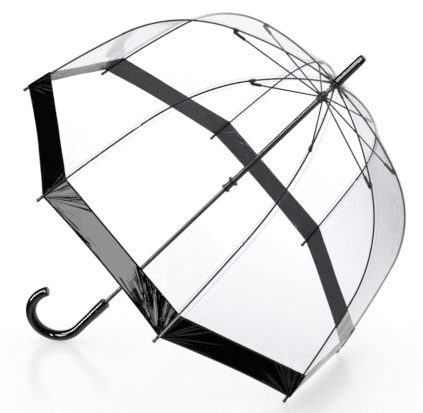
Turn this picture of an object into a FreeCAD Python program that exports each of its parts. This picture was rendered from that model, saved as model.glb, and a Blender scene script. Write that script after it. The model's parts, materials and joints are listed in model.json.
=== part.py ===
import FreeCAD, Part
import math
import os

import Sketcher
from FreeCAD import Placement, Rotation, Vector

# A dome umbrella at rest on the floor, standing on two rib tips and the bend of its crook.
# Umbrella frame while building: Z up the shaft towards the ferrule, origin in the plane of the rib
# hinges, +X towards the side that lies on the floor. Each piece is then turned into the rest pose.

doc = FreeCAD.newDocument("DomeUmbrella")
sheet = doc.addObject("Spreadsheet::Sheet", "dims")

DIMENSIONS = {
    # ribs: three tangent arcs from the crown to the hem, slopes in degrees below the horizontal
    "rib_count": 8,
    "upper_run": 215.0,
    "middle_run": 215.0,
    "lower_run": 221.0,
    "slope_crown": 5.0,
    "slope_bracket": 24.0,
    "slope_waist": 70.5,
    "slope_hem": 76.5,
    "rod_radius": 1.6,
    "rib_side": -1.75,
    # lap hinges between the three rods of a rib
    "lap_radius": 1.5,
    "lap_reach": 2.6,
    "lap_gap": 0.1,
    "lap_tall": 2.8,
    "lap_pin": 0.7,
    "lap_bore": 0.75,
    # the ribs' flat eyes in the crown
    "hinge_radius": 8.5,
    "eye_radius": 2.1,
    "eye_bore": 1.0,
    "tang_wide": 2.0,
    "tang_long": 7.5,
    "tang_tall": 3.0,
    "sleeve_radius": 2.3,
    "sleeve_end": 26.0,
    "tip_radius": 2.5,
    "tip_long": 14.0,
    # stretchers and the brackets that they meet
    "bracket_run": 208.0,
    "bracket_drop": 4.6,
    "bracket_long": 11.0,
    "bracket_back": 6.8,
    "bracket_tall": 5.4,
    "bracket_under": 3.4,
    "bracket_wide": 4.1,
    "ear_radius": 2.5,
    "ear_wide": 1.6,
    "side_gap": 0.1,
    "stretcher_side": 1.75,
    "stretcher_radius": 1.45,
    "stretcher_tab": 24.0,
    "tab_tall": 5.0,
    "tab_wide": 2.9,
    "rivet_radius": 1.7,
    "rivet_tall": 0.8,
    "wire_radius": 0.45,
    # crown and ferrule
    "crown_radius": 10.8,
    "crown_half": 2.4,
    "collar_radius": 6.5,
    "collar_drop": 10.0,
    "slot_wide": 2.7,
    "slot_long": 8.0,
    "crown_slot_low": 12.0,
    "crown_slot_high": 6.0,
    "hub_slot_low": 8.0,
    "hub_slot_high": 14.0,
    "washer_radius": 11.0,
    "washer_low": 3.6,
    "washer_edge": 1.2,
    "washer_top": 9.0,
    "ferrule_low": 7.5,
    "ferrule_top": 76.5,
    "ferrule_radius": 9.5,
    "ferrule_neck": 8.6,
    "ferrule_tip": 7.8,
    "ferrule_bore_top": 61.0,
    "ferrule_base": 9.0,
    "ferrule_step": 0.5,
    "ferrule_slim": 12.0,
    "ferrule_round": 2.6,
    # shaft
    "shaft_radius": 4.2,
    "shaft_bore": 3.4,
    "shaft_top": 60.5,
    "shaft_low": -760.0,
    "seat_gap": 0.03,
    # runner
    "hub_height": -35.0,
    "runner_bore": 4.27,
    "tube_radius": 5.9,
    "tube_top": -47.0,
    "grip_top": -287.0,
    "grip_low": -313.0,
    "grip_flange": 11.6,
    "grip_body": 7.0,
    "grip_foot": 9.2,
    "grip_edge": 0.8,
    "flange_tall": 3.6,
    "hub_skirt": 3.0,
    "key_radius": 5.35,
    "key_wide": 2.6,
    # catches
    "catch_thick": 1.8,
    "catch_nose": 5.1,
    "upper_catch": -313.4,
    "lower_catch": -672.0,
    "catch_rise": 12.0,
    "catch_inside": 1.6,
    "catch_outside": 2.9,
    "catch_lip": 1.5,
    "catch_head": 6.0,
    "catch_tail": 8.0,
    "window_gap": 0.2,
    "window_top": 0.4,
    "window_low": 0.5,
    # handle
    "handle_top": -694.0,
    "collar_end": -716.0,
    "bend_height": -790.0,
    "handle_collar": 11.5,
    "handle_tube": 11.2,
    "bend_radius": 56.5,
    "bend_sweep": 212.0,
    "crook_side": -157.5,
    "crook_round": 3.0,
    "collar_edge": 0.7,
    # canopy
    "film_offset": 3.0,
    "film_thick": 0.2,
    "film_start": 3.0,
    "band_tall": 55.0,
    "weld_lap": 6.0,
    "band_gap": 0.1,
    "seam_gap": 0.05,
    # tie strap on the outside of one hem panel
    "strap_long": 130.0,
    "strap_wide": 14.0,
    "strap_thick": 0.8,
    "strap_lift": 0.6,
    "strap_inset": 9.0,
    "stud_inset": 9.0,
    "stud_radius": 5.5,
    "stud_tall": 2.2,
    # the shaft's rise above the floor in the rest pose, in degrees
    "rest_rise": 44.58,
}
for row, (alias, number) in enumerate(DIMENSIONS.items(), start=1):
    sheet.set(f"A{row}", alias)
    sheet.set(f"B{row}", str(number))
    sheet.setAlias(f"B{row}", alias)
doc.recompute()


def dim(alias):
    """The plain number that a cell of the sheet holds."""
    return float(sheet.get(alias))


RIB_COUNT = int(dim("rib_count"))
STEP_ANGLE = 360.0 / RIB_COUNT
SLOPES = [dim(a) for a in ("slope_crown", "slope_bracket", "slope_waist", "slope_hem")]
RUNS = [dim(a) for a in ("upper_run", "middle_run", "lower_run")]
KNOTS = [0.0, RUNS[0], RUNS[0] + RUNS[1], sum(RUNS)]
AXIS_X, AXIS_Y, AXIS_Z = Vector(1, 0, 0), Vector(0, 1, 0), Vector(0, 0, 1)
IN_RIB_PLANE = Rotation(AXIS_X, 90)


# ---------------------------------------------------------------- rib geometry


def arc_of(run):
    """(arc number, bend radius, slope in degrees) of the rib where it has run this far from its hinge."""
    number = 0 if run < KNOTS[1] else 1 if run < KNOTS[2] else 2
    turn = math.radians(SLOPES[number + 1] - SLOPES[number])
    radius = RUNS[number] / turn
    slope = SLOPES[number] + math.degrees((run - KNOTS[number]) / radius)
    return number, radius, slope


def arc_centres():
    """The centre (radial, height) of each of the rib's three arcs."""
    radial, height, centres = dim("hinge_radius"), 0.0, []
    for number in range(3):
        start, end = (math.radians(SLOPES[number + k]) for k in (0, 1))
        radius = RUNS[number] / (end - start)
        centre = (radial - radius * math.sin(start), height - radius * math.cos(start))
        centres.append(centre)
        radial = centre[0] + radius * math.sin(end)
        height = centre[1] + radius * math.cos(end)
    return centres


CENTRES = arc_centres()


def rib_point(run, outward=0.0, number=None):
    """A point of the rib plane: this far along the rib, and this far outward from its centreline."""
    found, radius, slope = arc_of(run)
    if number is not None and number != found:
        found = number
        radius = RUNS[found] / math.radians(SLOPES[found + 1] - SLOPES[found])
        slope = SLOPES[found] + math.degrees((run - KNOTS[found]) / radius)
    angle = math.radians(slope)
    reach = radius + outward
    centre = CENTRES[found]
    return Vector(centre[0] + reach * math.sin(angle), 0, centre[1] + reach * math.cos(angle))


# ---------------------------------------------------------------- building blocks


def bind(thing, **expressions):
    """Bind properties of an object to expressions of the sheet's cells."""
    for name, text in expressions.items():
        thing.setExpression(name, text)
    return thing


def shape(kind, name, place=None, **expressions):
    thing = doc.addObject("Part::" + kind, name)
    bind(thing, **expressions)
    if place is not None:
        thing.Placement = place
    return thing


def joined(name, *things):
    fuse = doc.addObject("Part::MultiFuse", name)
    fuse.Shapes = list(things)
    return fuse


def cut(name, base, tool):
    result = doc.addObject("Part::Cut", name)
    result.Base, result.Tool = base, tool
    return result


def group(name, *things):
    """Separate solids that share one node."""
    compound = doc.addObject("Part::Compound", name)
    compound.Links = list(things)
    return compound


def copied(name, master, place):
    """The same piece at another place."""
    compound = group(name, master)
    compound.Placement = place
    return compound


def around(angle):
    return Placement(Vector(), Rotation(AXIS_Z, angle))


def ring_of(name, master, first=0.0):
    """One copy of a piece at every rib pitch around the shaft."""
    turns = [copied(f"{name}_{k + 1}", master, around(first + k * STEP_ANGLE)) for k in range(RIB_COUNT)]
    return group(name + "_ring", *turns)


def turned(name, outline):
    """A body turned about the shaft from (radius, height) corners, each an expression of the sheet."""
    body = doc.addObject("PartDesign::Body", name)
    sketch = body.newObject("Sketcher::SketchObject", name + "_outline")
    plane = next(f for f in body.Origin.OriginFeatures if f.Role == "XZ_Plane")
    sketch.AttachmentSupport = (plane, [""])
    sketch.MapMode = "FlatFace"
    corners = [Vector(float(sheet.evalExpression(x)), float(sheet.evalExpression(y)), 0) for x, y in outline]
    count = len(corners)
    for k in range(count):
        sketch.addGeometry(Part.LineSegment(corners[k], corners[(k + 1) % count]))
    for k in range(count):
        sketch.addConstraint(Sketcher.Constraint("Coincident", k, 2, (k + 1) % count, 1))
    for k, (x, y) in enumerate(outline):
        for kind, text, number in (("DistanceX", x, corners[k].x), ("DistanceY", y, corners[k].y)):
            index = sketch.addConstraint(Sketcher.Constraint(kind, -1, 1, k, 1, number))
            sketch.setExpression(f"Constraints[{index}]", text)
    revolution = body.newObject("PartDesign::Revolution", name + "_turning")
    revolution.Profile = sketch
    revolution.ReferenceAxis = (sketch, ["V_Axis"])
    revolution.Angle = 360
    body.Tip = revolution
    return body


def rod(name, start, end, radius, side):
    """A round rod along one arc of the rib, from one run to another."""
    number, bend, low = arc_of((start + end) / 2)
    first = SLOPES[number] + math.degrees((start - KNOTS[number]) / bend)
    last = SLOPES[number] + math.degrees((end - KNOTS[number]) / bend)
    centre = CENTRES[number]
    turn = IN_RIB_PLANE.multiply(Rotation(AXIS_Z, 90 - last))
    thing = shape("Torus", name, Placement(Vector(centre[0], dim(side), centre[1]), turn))
    names = ("slope_crown", "slope_bracket", "slope_waist", "slope_hem")
    run = ("upper_run", "middle_run", "lower_run")[number]
    sweep = f"(dims.{names[number + 1]} - dims.{names[number]})"
    bind(thing, Radius1=f"dims.{run} * 180 / (pi * {sweep})", Radius2=f"dims.{radius}")
    thing.Angle3 = last - first
    return thing


def across(base, radius, low, high, name):
    """A round boss or bore across the rib plane, from one side to the other."""
    place = Placement(Vector(base.x, high, base.z), IN_RIB_PLANE)
    boss = shape("Cylinder", name, place, Radius=f"dims.{radius}")
    boss.Height = high - low
    return boss


def bar(name, start, slope, length, tall, low, high, back=0.0, under=None):
    """A flat bar in the rib plane that leaves a point at a slope below the horizontal. It is centred on its
    line, unless under says how much of its height lies below."""
    turn = Rotation(AXIS_Y, slope)
    below = tall / 2 if under is None else under
    corner = Vector(start.x, 0, start.z) + turn.multVec(Vector(-back, 0, -below))
    box = shape("Box", name, Placement(Vector(corner.x, low, corner.z), turn))
    box.Length, box.Width, box.Height = length, high - low, tall
    return box


# ---------------------------------------------------------------- shaft, crown and ferrule


def catch_window(name, ledge):
    """The slot in the shaft's wall that a catch's nose stands out of."""
    window = shape("Box", name, Length="dims.shaft_radius + 1",
                   Width="dims.catch_thick + 2 * dims.window_gap",
                   Height="dims.catch_rise + dims.window_top + dims.window_low")
    side = dim("catch_thick") / 2 + dim("window_gap")
    low = ledge - dim("catch_rise") - dim("window_low")
    window.Placement = Placement(Vector(-dim("shaft_radius") - 1, -side, low), Rotation())
    return window


def make_shaft():
    tube = shape("Cylinder", "shaft_stock", Radius="dims.shaft_radius")
    bore = shape("Cylinder", "shaft_hollow", Radius="dims.shaft_bore")
    for thing in (tube, bore):
        bind(thing, **{"Height": "dims.shaft_top - dims.shaft_low", "Placement.Base.z": "dims.shaft_low"})
    windows = [catch_window(f"shaft_window_{k}", dim(k + "_catch")) for k in ("upper", "lower")]
    return cut("shaft", tube, joined("shaft_openings", bore, *windows))


def make_catch(which):
    """A leaf spring in the shaft, whose nose stands out of the window on the side away from the floor."""
    ledge, nose, rise = dim(which + "_catch"), dim("catch_nose"), dim("catch_rise")
    inside, outside, head = dim("catch_inside"), dim("catch_outside"), dim("catch_head")
    foot = -rise - dim("catch_tail")
    corners = [(inside, head), (outside, head), (outside, 0), (nose, 0), (nose, -dim("catch_lip")),
               (outside, -rise), (outside, foot), (inside, foot)]
    points = [Vector(-x, 0, ledge + z) for x, z in corners]
    face = doc.addObject("Part::Feature", which + "_catch_outline")
    face.Shape = Part.Face(Part.makePolygon(points + points[:1]))
    leaf = doc.addObject("Part::Extrusion", which + "_catch")
    leaf.Base, leaf.DirMode, leaf.Dir, leaf.Solid, leaf.Symmetric = face, "Custom", AXIS_Y, True, True
    bind(leaf, LengthFwd="dims.catch_thick")
    return leaf


def slots(name, side, height, drop, rise):
    """The radial slots that hold the flat eyes of the ribs or stretchers."""
    box = shape("Box", name + "_slot", Length="dims.slot_long", Width="dims.slot_wide")
    box.Height = drop + rise
    inner = dim("collar_radius") - dim("side_gap")
    box.Placement = Placement(Vector(inner, side - dim("slot_wide") / 2, height - drop), Rotation())
    return ring_of(name, box, STEP_ANGLE / 2)


def wire(name, height):
    place = Placement(Vector(0, 0, height), Rotation())
    return shape("Torus", name, place, Radius1="dims.hinge_radius", Radius2="dims.wire_radius")


def groove(name, height):
    place = Placement(Vector(0, 0, height), Rotation())
    return shape("Torus", name, place, Radius1="dims.hinge_radius",
                 Radius2="dims.wire_radius + dims.seat_gap")


def make_crown():
    body = turned("crown_stock", [
        ("dims.shaft_radius + dims.seat_gap", "dims.crown_half"),
        ("dims.crown_radius", "dims.crown_half"),
        ("dims.crown_radius", "-dims.crown_half"),
        ("dims.collar_radius", "-dims.crown_half"),
        ("dims.collar_radius", "-dims.collar_drop"),
        ("dims.shaft_radius + dims.seat_gap", "-dims.collar_drop"),
    ])
    rib_slots = slots("crown_slots", -EYE_MIDDLE, 0.0, dim("crown_slot_low"), dim("crown_slot_high"))
    return cut("crown_notch", body, joined("crown_cuts", rib_slots, groove("crown_groove", 0.0)))


def make_washer():
    return turned("canopy_washer", [
        ("dims.shaft_radius + dims.seat_gap", "dims.washer_low"),
        ("dims.washer_radius", "dims.washer_low"),
        ("dims.washer_radius", "dims.washer_low + dims.washer_edge"),
        ("dims.washer_top", "dims.ferrule_low"),
        ("dims.shaft_radius + dims.seat_gap", "dims.ferrule_low"),
    ])


def make_ferrule():
    return turned("ferrule", [
        ("dims.shaft_radius + dims.seat_gap", "dims.ferrule_low"),
        ("dims.ferrule_radius", "dims.ferrule_low"),
        ("dims.ferrule_radius", "dims.ferrule_low + dims.ferrule_base"),
        ("dims.ferrule_radius - dims.ferrule_step",
         "dims.ferrule_low + dims.ferrule_base + dims.ferrule_step"),
        ("dims.ferrule_neck", "dims.ferrule_top - dims.ferrule_slim"),
        ("dims.ferrule_tip", "dims.ferrule_top - dims.ferrule_round"),
        ("dims.ferrule_tip - dims.ferrule_round * 0.4", "dims.ferrule_top - dims.ferrule_round * 0.3"),
        ("dims.ferrule_tip - dims.ferrule_round", "dims.ferrule_top"),
        ("0", "dims.ferrule_top"),
        ("0", "dims.ferrule_bore_top"),
        ("dims.shaft_radius + dims.seat_gap", "dims.ferrule_bore_top"),
    ])


# ---------------------------------------------------------------- ribs and stretchers

# the flat eyes stand side by side about the rib plane, with a gap between rib and stretcher
EYE_SIDE = 0.3
EYE_MIDDLE = EYE_SIDE + dim("tang_wide") / 2
HINGE = Vector(dim("hinge_radius"), 0, 0)
HUB_PIVOT = Vector(dim("hinge_radius"), 0, dim("hub_height"))
BRACKET_PIVOT = rib_point(dim("bracket_run"), -dim("bracket_drop"))
RIB_FACE = -dim("side_gap")


def eye_and_tang(name, pivot, slope, low, high):
    eye = across(pivot, "eye_radius", low, high, name + "_eye")
    tang = bar(name + "_tang", pivot, slope, dim("tang_long"), dim("tang_tall"), low, high)
    bore = across(pivot, "eye_bore", low - 1, high + 1, name + "_bore")
    return eye, tang, bore


def make_rib_upper():
    low, high = -EYE_SIDE - dim("tang_wide"), -EYE_SIDE
    eye, tang, bore = eye_and_tang("root", HINGE, dim("slope_crown"), low, high)
    sleeve = rod("root_sleeve", dim("tang_long") - 1, dim("sleeve_end"), "sleeve_radius", "rib_side")
    root = cut("rib_root", joined("root_stock", eye, tang, sleeve), bore)
    reach = dim("lap_reach")
    stock = rod("rib_upper_rod", dim("sleeve_end"), KNOTS[1] - reach, "rod_radius", "rib_side")
    cane = joined("rib_upper_cane", stock, *knuckle("shoulder_pin_side", 1, False))
    run, long = dim("bracket_run"), dim("bracket_long")
    clamp = bar("bracket_clamp", rib_point(run), arc_of(run)[2], long, dim("bracket_tall"),
                RIB_FACE - dim("bracket_wide"), RIB_FACE,
                back=dim("bracket_back"), under=dim("bracket_under"))
    ear = across(BRACKET_PIVOT, "ear_radius", RIB_FACE - dim("ear_wide"), RIB_FACE, "bracket_ear")
    passage = rod("bracket_passage", run - long, KNOTS[1], "rod_radius", "rib_side")
    bracket = cut("rib_bracket", joined("bracket_stock", clamp, ear), passage)
    return group("rib_upper", root, cane, bracket)


def knuckle(name, joint, ahead):
    """Half of the lap hinge between two rods: a round eye on the hinge axis, the flat that joins it to
    its rod and, on the half behind the hinge, the pin."""
    pivot, slope, half = rib_point(KNOTS[joint]), SLOPES[joint], dim("lap_gap") / 2
    side, reach = dim("rib_side"), dim("lap_reach")
    if ahead:
        low, high = side + half, side + dim("rod_radius")
    else:
        low, high, slope = side - dim("rod_radius"), side - half, slope + 180
    parts = [across(pivot, "lap_radius", low, high, name + "_eye"),
             bar(name + "_flat", pivot, slope, reach + 1, dim("lap_tall"), low, high)]
    if not ahead:
        parts.append(across(pivot, "lap_pin", low, side + dim("rod_radius"), name + "_pin"))
    return parts


def make_rod(name, joint, end):
    """A rod that starts at a lap hinge, and ends at the next hinge or plain at the hem."""
    reach, side = dim("lap_reach"), dim("rib_side")
    behind = [] if end == KNOTS[3] else knuckle(name + "_pin_side", joint + 1, False)
    stop = end if end == KNOTS[3] else end - reach
    stock = rod(name + "_rod", KNOTS[joint] + reach, stop, "rod_radius", "rib_side")
    bore = across(rib_point(KNOTS[joint]), "lap_bore", side, side + dim("rod_radius") + 1, name + "_bore")
    ahead = knuckle(name + "_eye_side", joint, True)
    return cut(name, joined(name + "_stock", stock, *ahead, *behind), bore)


def make_rib_tip():
    """A cap on the rod's end: a short straight barrel with a ball end."""
    start = rib_point(KNOTS[3])
    slope = dim("slope_hem")
    turn = Rotation(AXIS_Y, 90 + slope)
    ball = dim("tip_radius")
    place = Placement(Vector(start.x, dim("rib_side"), start.z), turn)
    barrel = shape("Cylinder", "tip_barrel", place, Radius="dims.tip_radius",
                   Height="dims.tip_long - dims.tip_radius")
    end = start + Rotation(AXIS_Y, slope).multVec(Vector(dim("tip_long") - ball, 0, 0))
    round_end = shape("Sphere", "tip_ball", Placement(Vector(end.x, dim("rib_side"), end.z), Rotation()),
                      Radius="dims.tip_radius")
    return joined("rib_tip", barrel, round_end)


def make_stretcher():
    reach = BRACKET_PIVOT - HUB_PIVOT
    slope = math.degrees(math.atan2(-reach.z, reach.x))
    low, high = EYE_SIDE, EYE_SIDE + dim("tang_wide")
    eye, tang, bore = eye_and_tang("stretcher", HUB_PIVOT, slope, low, high)
    turn = Rotation(AXIS_Y, 90 + slope)
    along = Rotation(AXIS_Y, slope)
    start = HUB_PIVOT + along.multVec(Vector(dim("tang_long") - 1, 0, 0))
    tab_low = dim("stretcher_side") - dim("tab_wide") / 2
    tab_high = dim("stretcher_side") + dim("tab_wide") / 2
    place = Placement(Vector(start.x, dim("stretcher_side"), start.z), turn)
    stem = shape("Cylinder", "stretcher_stem", place, Radius="dims.stretcher_radius")
    stem.Height = reach.Length - dim("tang_long") + 1 - dim("stretcher_tab") / 2
    tab_start = HUB_PIVOT + along.multVec(Vector(reach.Length - dim("stretcher_tab"), 0, 0))
    tab = bar("stretcher_tab", tab_start, slope, dim("stretcher_tab"), dim("tab_tall"), tab_low, tab_high)
    end = across(BRACKET_PIVOT, "ear_radius", tab_low, tab_high, "stretcher_end")
    head = across(BRACKET_PIVOT, "rivet_radius", tab_low, tab_high + dim("rivet_tall"), "stretcher_rivet")
    return cut("stretcher", joined("stretcher_stock", eye, tang, stem, tab, end, head), bore)


# ---------------------------------------------------------------- runner


def keyway(name, low, high):
    """The groove in the runner's bore that a catch's nose passes through."""
    box = shape("Box", name, Width="dims.key_wide", Length="dims.key_radius")
    box.Height = high - low
    box.Placement = Placement(Vector(-dim("key_radius"), -dim("key_wide") / 2, low), Rotation())
    return box


def make_hub():
    body = turned("hub_stock", [
        ("dims.runner_bore", "dims.hub_height + dims.collar_drop"),
        ("dims.collar_radius", "dims.hub_height + dims.collar_drop"),
        ("dims.collar_radius", "dims.hub_height + dims.crown_half"),
        ("dims.crown_radius", "dims.hub_height + dims.crown_half"),
        ("dims.crown_radius", "dims.hub_height - dims.crown_half"),
        ("dims.collar_radius + 1", "dims.hub_height - dims.crown_half - dims.hub_skirt"),
        ("dims.collar_radius", "dims.tube_top"),
        ("dims.runner_bore", "dims.tube_top"),
    ])
    hub = dim("hub_height")
    stretcher_slots = slots("hub_slots", EYE_MIDDLE, hub, dim("hub_slot_low"), dim("hub_slot_high"))
    way = keyway("hub_keyway", dim("tube_top") - 1, hub + dim("collar_drop") + 1)
    return cut("runner_hub", body, joined("hub_cuts", stretcher_slots, groove("hub_groove", hub), way))


def make_runner_tube():
    body = turned("tube_stock", [
        ("dims.runner_bore", "dims.tube_top"),
        ("dims.tube_radius", "dims.tube_top"),
        ("dims.tube_radius", "dims.grip_top"),
        ("dims.runner_bore", "dims.grip_top"),
    ])
    return cut("runner_tube", body, keyway("tube_keyway", dim("grip_top") - 1, dim("tube_top") + 1))


def make_grip():
    body = turned("grip_stock", [
        ("dims.runner_bore", "dims.grip_top"),
        ("dims.grip_body", "dims.grip_top"),
        ("dims.grip_flange - dims.grip_edge", "dims.grip_top - dims.grip_edge"),
        ("dims.grip_flange", "dims.grip_top - dims.flange_tall / 2"),
        ("dims.grip_flange - dims.grip_edge", "dims.grip_top - dims.flange_tall"),
        ("dims.grip_body", "dims.grip_top - dims.flange_tall - 2"),
        ("dims.grip_body", "dims.grip_low + dims.flange_tall + 1"),
        ("dims.grip_foot", "dims.grip_low + dims.flange_tall"),
        ("dims.grip_foot", "dims.grip_low + dims.grip_edge"),
        ("dims.grip_foot - dims.grip_edge", "dims.grip_low"),
        ("dims.runner_bore", "dims.grip_low"),
    ])
    return cut("runner_grip", body, keyway("grip_keyway", dim("grip_low") - 1, dim("grip_top") + 1))


# ---------------------------------------------------------------- handle


def make_handle():
    seat = dim("shaft_radius") + dim("seat_gap")
    straight = shape("Cylinder", "handle_stock", Radius="dims.handle_tube")
    bind(straight, **{"Height": "dims.collar_end - dims.bend_height", "Placement.Base.z": "dims.bend_height"})
    frame = Rotation(Vector(-1, 0, 0), Vector(0, 0, -1), Vector(0, -1, 0), "XYZ")
    crook = shape("Torus", "handle_bend", Placement(Vector(dim("bend_radius"), 0, dim("bend_height")), frame),
                  Radius1="dims.bend_radius", Radius2="dims.handle_tube", Angle3="dims.bend_sweep")
    bore = shape("Cylinder", "handle_bore")
    bore.Radius, bore.Height = seat, dim("collar_end") - dim("shaft_low") + 2
    bore.Placement = Placement(Vector(0, 0, dim("shaft_low") - 1), Rotation())
    whole = cut("handle_whole", joined("handle_shell", straight, crook), bore)
    doc.recompute()
    sweep = math.radians(dim("bend_sweep"))
    bend = dim("bend_radius")
    end = Vector(bend - bend * math.cos(sweep), 0, dim("bend_height") - bend * math.sin(sweep))
    tube = dim("handle_tube")
    rim = [k for k, edge in enumerate(whole.Shape.Edges, start=1)
           if edge.Length > 5 * tube and all((v.Point - end).Length < tube + 1 for v in edge.Vertexes)]
    rounded = doc.addObject("Part::Fillet", "handle_rounded")
    rounded.Base = whole
    rounded.Edges = [(k, dim("crook_round"), dim("crook_round")) for k in rim]
    return copied("handle", rounded, around(dim("crook_side")))


def make_handle_collar():
    return turned("handle_collar", [
        ("dims.shaft_radius + dims.seat_gap", "dims.collar_end"),
        ("dims.handle_collar", "dims.collar_end"),
        ("dims.handle_collar", "dims.handle_top - 2 * dims.collar_edge"),
        ("dims.handle_collar - dims.collar_edge", "dims.handle_top - dims.collar_edge / 2"),
        ("dims.handle_collar - 2 * dims.collar_edge", "dims.handle_top"),
        ("dims.shaft_radius + dims.seat_gap", "dims.handle_top"),
    ])


# ---------------------------------------------------------------- canopy


def strip_outline(name, start, end, inside, thick):
    """The closed outline, in the rib plane, of a thin strip that follows the outside of a rib."""
    spans = []
    for number in range(3):
        low, high = max(start, KNOTS[number]), min(end, KNOTS[number + 1])
        if high > low:
            spans.append((number, low, high))
    outline = doc.addObject("Sketcher::SketchObject", name)
    edges = []
    for number, low, high in spans:
        points = [rib_point(run, inside + thick, number) for run in (low, (low + high) / 2, high)]
        edges.append(Part.Arc(*[Vector(p.x, p.z, 0) for p in points]))
    far = spans[-1]
    edges.append(Part.LineSegment(*[Vector(p.x, p.z, 0) for p in (
        rib_point(far[2], inside + thick, far[0]), rib_point(far[2], inside, far[0]))]))
    for number, low, high in reversed(spans):
        points = [rib_point(run, inside, number) for run in (high, (low + high) / 2, low)]
        edges.append(Part.Arc(*[Vector(p.x, p.z, 0) for p in points]))
    near = spans[0]
    edges.append(Part.LineSegment(*[Vector(p.x, p.z, 0) for p in (
        rib_point(near[1], inside, near[0]), rib_point(near[1], inside + thick, near[0]))]))
    for edge in edges:
        outline.addGeometry(edge)
    return outline


def gore(name, start, end, inside, thick):
    """One panel between two ribs: straight across from rib to rib, curved only down its length."""
    half = STEP_ANGLE / 2 - dim("seam_gap")
    sides = []
    for label, angle in (("left", -half), ("right", half)):
        outline = strip_outline(f"{name}_{label}", start, end, inside, thick)
        outline.Placement = Placement(Vector(), Rotation(AXIS_Z, angle).multiply(IN_RIB_PLANE))
        sides.append(outline)
    panel = doc.addObject("Part::Loft", name)
    panel.Sections, panel.Solid, panel.Ruled = sides, True, True
    return panel


def make_film():
    end = KNOTS[3] - dim("band_tall") + dim("weld_lap")
    panel = gore("film_gore", dim("film_start"), end, dim("film_offset"), dim("film_thick"))
    return ring_of("canopy_film", panel)


def make_band():
    inside = dim("film_offset") + dim("film_thick") + dim("band_gap")
    panel = gore("band_gore", KNOTS[3] - dim("band_tall"), KNOTS[3], inside, dim("film_thick"))
    return ring_of("hem_band", panel)


def make_strap():
    """The tie strap, laid flat on the outside of the panel between ribs 6 and 7 from the seam at rib 6,
    and the stud that its other end snaps on."""
    run = KNOTS[3] - dim("band_tall") / 2
    lean = Rotation(AXIS_Y, arc_of(run)[2])
    seat = rib_point(run, dim("film_offset") + 2 * dim("film_thick") + dim("band_gap") + dim("strap_lift"))
    half = math.radians(STEP_ANGLE / 2)
    middle = Vector(seat.x * math.cos(half), 0, seat.z)
    seam = -seat.x * math.sin(half)
    corner = middle + lean.multVec(Vector(-dim("strap_wide") / 2, seam + dim("strap_inset"), 0))
    ribbon = shape("Box", "strap_ribbon", Placement(corner, lean), Length="dims.strap_wide",
                   Width="dims.strap_long", Height="dims.strap_thick")
    across_strap = seam + dim("strap_inset") + dim("stud_inset")
    place = Placement(middle + lean.multVec(Vector(0, across_strap, dim("strap_thick"))), lean)
    stud = shape("Cylinder", "strap_stud_stock", place, Radius="dims.stud_radius", Height="dims.stud_tall")
    panel = around(2 * STEP_ANGLE)
    return copied("tie_strap", ribbon, panel), copied("strap_stud", stud, panel)


# ---------------------------------------------------------------- assembly

rib_upper, rib_tip, stretcher = make_rib_upper(), make_rib_tip(), make_stretcher()
rib_middle, rib_lower = make_rod("rib_middle", 1, KNOTS[2]), make_rod("rib_lower", 2, KNOTS[3])
strap, stud = make_strap()
nodes = {
    "shaft": make_shaft(),
    "ferrule": make_ferrule(),
    "crown_notch": make_crown(),
    "crown_wire_ring": wire("crown_wire", 0.0),
    "canopy_washer": make_washer(),
    "upper_catch": make_catch("upper"),
    "lower_catch": make_catch("lower"),
    "handle": make_handle(),
    "handle_collar": make_handle_collar(),
    "runner_hub": make_hub(),
    "hub_wire_ring": wire("hub_wire", dim("hub_height")),
    "runner_tube": make_runner_tube(),
    "runner_grip": make_grip(),
    "canopy_film": make_film(),
    "hem_band": make_band(),
    "tie_strap": strap,
    "strap_stud": stud,
}
RIB_PIECES = {"rib_{}_upper": rib_upper, "rib_{}_middle": rib_middle, "rib_{}_lower": rib_lower,
              "rib_{}_tip": rib_tip, "stretcher_{}": stretcher}
for number in range(1, RIB_COUNT + 1):
    turn = around((number - 4.5) * STEP_ANGLE)
    for pattern, master in RIB_PIECES.items():
        label = pattern.format(number)
        nodes[label] = copied(label + "_piece", master, turn)
doc.recompute()

# into the rest pose, then the middle of the footprint's box to the origin
rest = Placement(Vector(), Rotation(AXIS_Y, 90 - dim("rest_rise")))
solids = []
for label, piece in nodes.items():
    moved = piece.Shape.copy()
    moved.Placement = rest.multiply(moved.Placement)
    solids.append(moved)
box = Part.makeCompound(solids).optimalBoundingBox(False, False)
shift = Placement(Vector(-(box.XMin + box.XMax) / 2, -(box.YMin + box.YMax) / 2, -box.ZMin), Rotation())
for label, piece in nodes.items():
    piece.Label = label
    piece.Placement = shift.multiply(rest).multiply(piece.Placement)
doc.recompute()

for thing in doc.Objects:
    if "Invalid" in thing.State or "Error" in thing.State:
        raise SystemExit(f"{thing.Name} did not build: {thing.State}")
for label, piece in nodes.items():
    if piece.Shape.isNull() or not piece.Shape.isValid() or not piece.Shape.Solids:
        raise SystemExit(f"{label} has no valid solid")

os.makedirs("parts", exist_ok=True)
for label, piece in nodes.items():
    piece.Shape.exportStep(f"parts/{label}.step")
print(len(nodes), "pieces,", sum(len(p.Shape.Solids) for p in nodes.values()), "solids")
print("shift of the crown", tuple(round(v, 4) for v in shift.Base))
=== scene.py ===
import json
import math

import bmesh
import bpy
import numpy as np
from mathutils import Matrix, Vector, noise

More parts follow.
